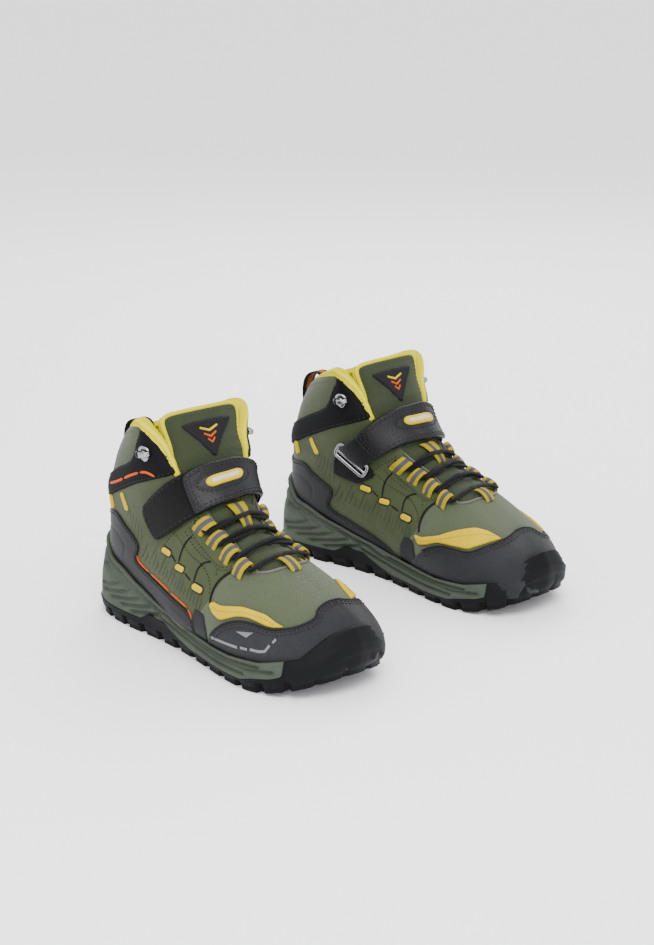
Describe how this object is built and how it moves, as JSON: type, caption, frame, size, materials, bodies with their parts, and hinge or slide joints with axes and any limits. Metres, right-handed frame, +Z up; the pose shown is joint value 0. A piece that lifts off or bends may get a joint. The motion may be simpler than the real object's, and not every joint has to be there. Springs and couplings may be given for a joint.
{
  "type": "hiking boots",
  "caption": "Pair of mid-cut hiking boots with lugged rubber soles, rubber toe bumpers, elastic laces in webbing loops and a hook-and-loop instep strap on a metal ring.",
  "frame": {"origin": "centre of the pair's footprint, on the ground", "axes": "+Z up, toes toward -Y, the right boot on the -X side and the left boot on the +X side"},
  "size_m": [0.2836, 0.2586, 0.1489],
  "materials": {
    "outsole_rubber": "satin moulded",
    "midsole_foam": "matte moulded foam",
    "shank_steel": "plain",
    "board": "fibre board",
    "footbed_foam": "textile covered foam",
    "lining_fabric": "ribbed textile",
    "vamp_mesh": "knitted mesh",
    "quarter_fabric": "fine grain",
    "overlay_black": "embossed synthetic",
    "trim_yellow": "moulded film",
    "ankle_black": "matte",
    "tongue_fabric": "ribbed ripstop",
    "patch_black": "moulded",
    "webbing_yellow": "woven webbing",
    "lace_cord": "braided elastic",
    "hook_metal": "polished",
    "strap_pile": "loop pile",
    "strap_leather": "fine grain",
    "badge_yellow": "moulded",
    "ring_metal": "polished",
    "pull_webbing": "woven webbing"
  },
  "bodies": {
    "right_boot": {"right_outsole": "outsole_rubber", "right_midsole": "midsole_foam", "right_shank": "shank_steel", "right_lasting_board": "board", "right_footbed": "footbed_foam", "right_lining": "lining_fabric", "right_vamp": "vamp_mesh", "right_quarter_outer": "quarter_fabric", "right_quarter_inner": "quarter_fabric", "right_toe_cap": "overlay_black", "right_trim_outer": "trim_yellow", "right_trim_inner": "trim_yellow", "right_heel_counter": "overlay_black", "right_ankle_panel": "ankle_black", "right_tongue": "tongue_fabric", "right_tongue_loop": "webbing_yellow", "right_eyestay_outer": "quarter_fabric", "right_eyestay_inner": "quarter_fabric", "right_lace": "lace_cord", "right_lace_hook_outer": "hook_metal", "right_lace_hook_inner": "hook_metal", "right_strap_base": "strap_pile", "right_ring_tab": "strap_pile", "right_heel_loop": "pull_webbing"},
    "right_strap": {"right_strap_free_end": "strap_leather", "right_strap_badge": "badge_yellow"},
    "right_ring": {"right_slot_ring": "ring_metal"},
    "right_tongue": {"right_tongue_top": "tongue_fabric", "right_tongue_patch": "patch_black"},
    "left_boot": {"left_outsole": "outsole_rubber", "left_midsole": "midsole_foam", "left_shank": "shank_steel", "left_lasting_board": "board", "left_footbed": "footbed_foam", "left_lining": "lining_fabric", "left_vamp": "vamp_mesh", "left_quarter_outer": "quarter_fabric", "left_quarter_inner": "quarter_fabric", "left_toe_cap": "overlay_black", "left_trim_outer": "trim_yellow", "left_trim_inner": "trim_yellow", "left_heel_counter": "overlay_black", "left_ankle_panel": "ankle_black", "left_tongue": "tongue_fabric", "left_tongue_loop": "webbing_yellow", "left_eyestay_outer": "quarter_fabric", "left_eyestay_inner": "quarter_fabric", "left_lace": "lace_cord", "left_lace_hook_outer": "hook_metal", "left_lace_hook_inner": "hook_metal", "left_strap_base": "strap_pile", "left_ring_tab": "strap_pile", "left_heel_loop": "pull_webbing"},
    "left_strap": {"left_strap_free_end": "strap_leather", "left_strap_badge": "badge_yellow"},
    "left_ring": {"left_slot_ring": "ring_metal"},
    "left_tongue": {"left_tongue_top": "tongue_fabric", "left_tongue_patch": "patch_black"}
  },
  "joints": [
    {"name": "left_boot_lift", "type": "slide", "parent": "right_boot", "child": "left_boot", "axis": [0, 0, 1], "range_m": [0, 0.2]},
    {"name": "right_strap_peel", "type": "hinge", "parent": "right_boot", "child": "right_strap", "pos_m": [-0.05853, 0.01077, 0.09036], "axis": [0.2322, 0.7171, 0.6572], "range_deg": [0, 130]},
    {"name": "right_ring_swivel", "type": "hinge", "parent": "right_boot", "child": "right_ring", "pos_m": [-0.05642, 0.03271, 0.07091], "axis": [0.0537, 0.914, 0.4021], "range_deg": [0, 6]},
    {"name": "right_tongue_fold", "type": "hinge", "parent": "right_boot", "child": "right_tongue", "pos_m": [-0.09313, 0.00758, 0.11721], "axis": [1, 0, 0], "range_deg": [0, 35]},
    {"name": "left_strap_peel", "type": "hinge", "parent": "left_boot", "child": "left_strap", "pos_m": [0.05282, 0.03032, 0.09036], "axis": [0.2926, -0.6946, -0.6572], "range_deg": [0, 130]},
    {"name": "left_ring_swivel", "type": "hinge", "parent": "left_boot", "child": "left_ring", "pos_m": [0.04885, 0.052, 0.07091], "axis": [0.1316, -0.9061, -0.4021], "range_deg": [0, 6]},
    {"name": "left_tongue_fold", "type": "hinge", "parent": "left_boot", "child": "left_tongue", "pos_m": [0.08757, 0.0301, 0.11721], "axis": [0.9963, 0.0854, 0], "range_deg": [0, 35]}
  ]
}
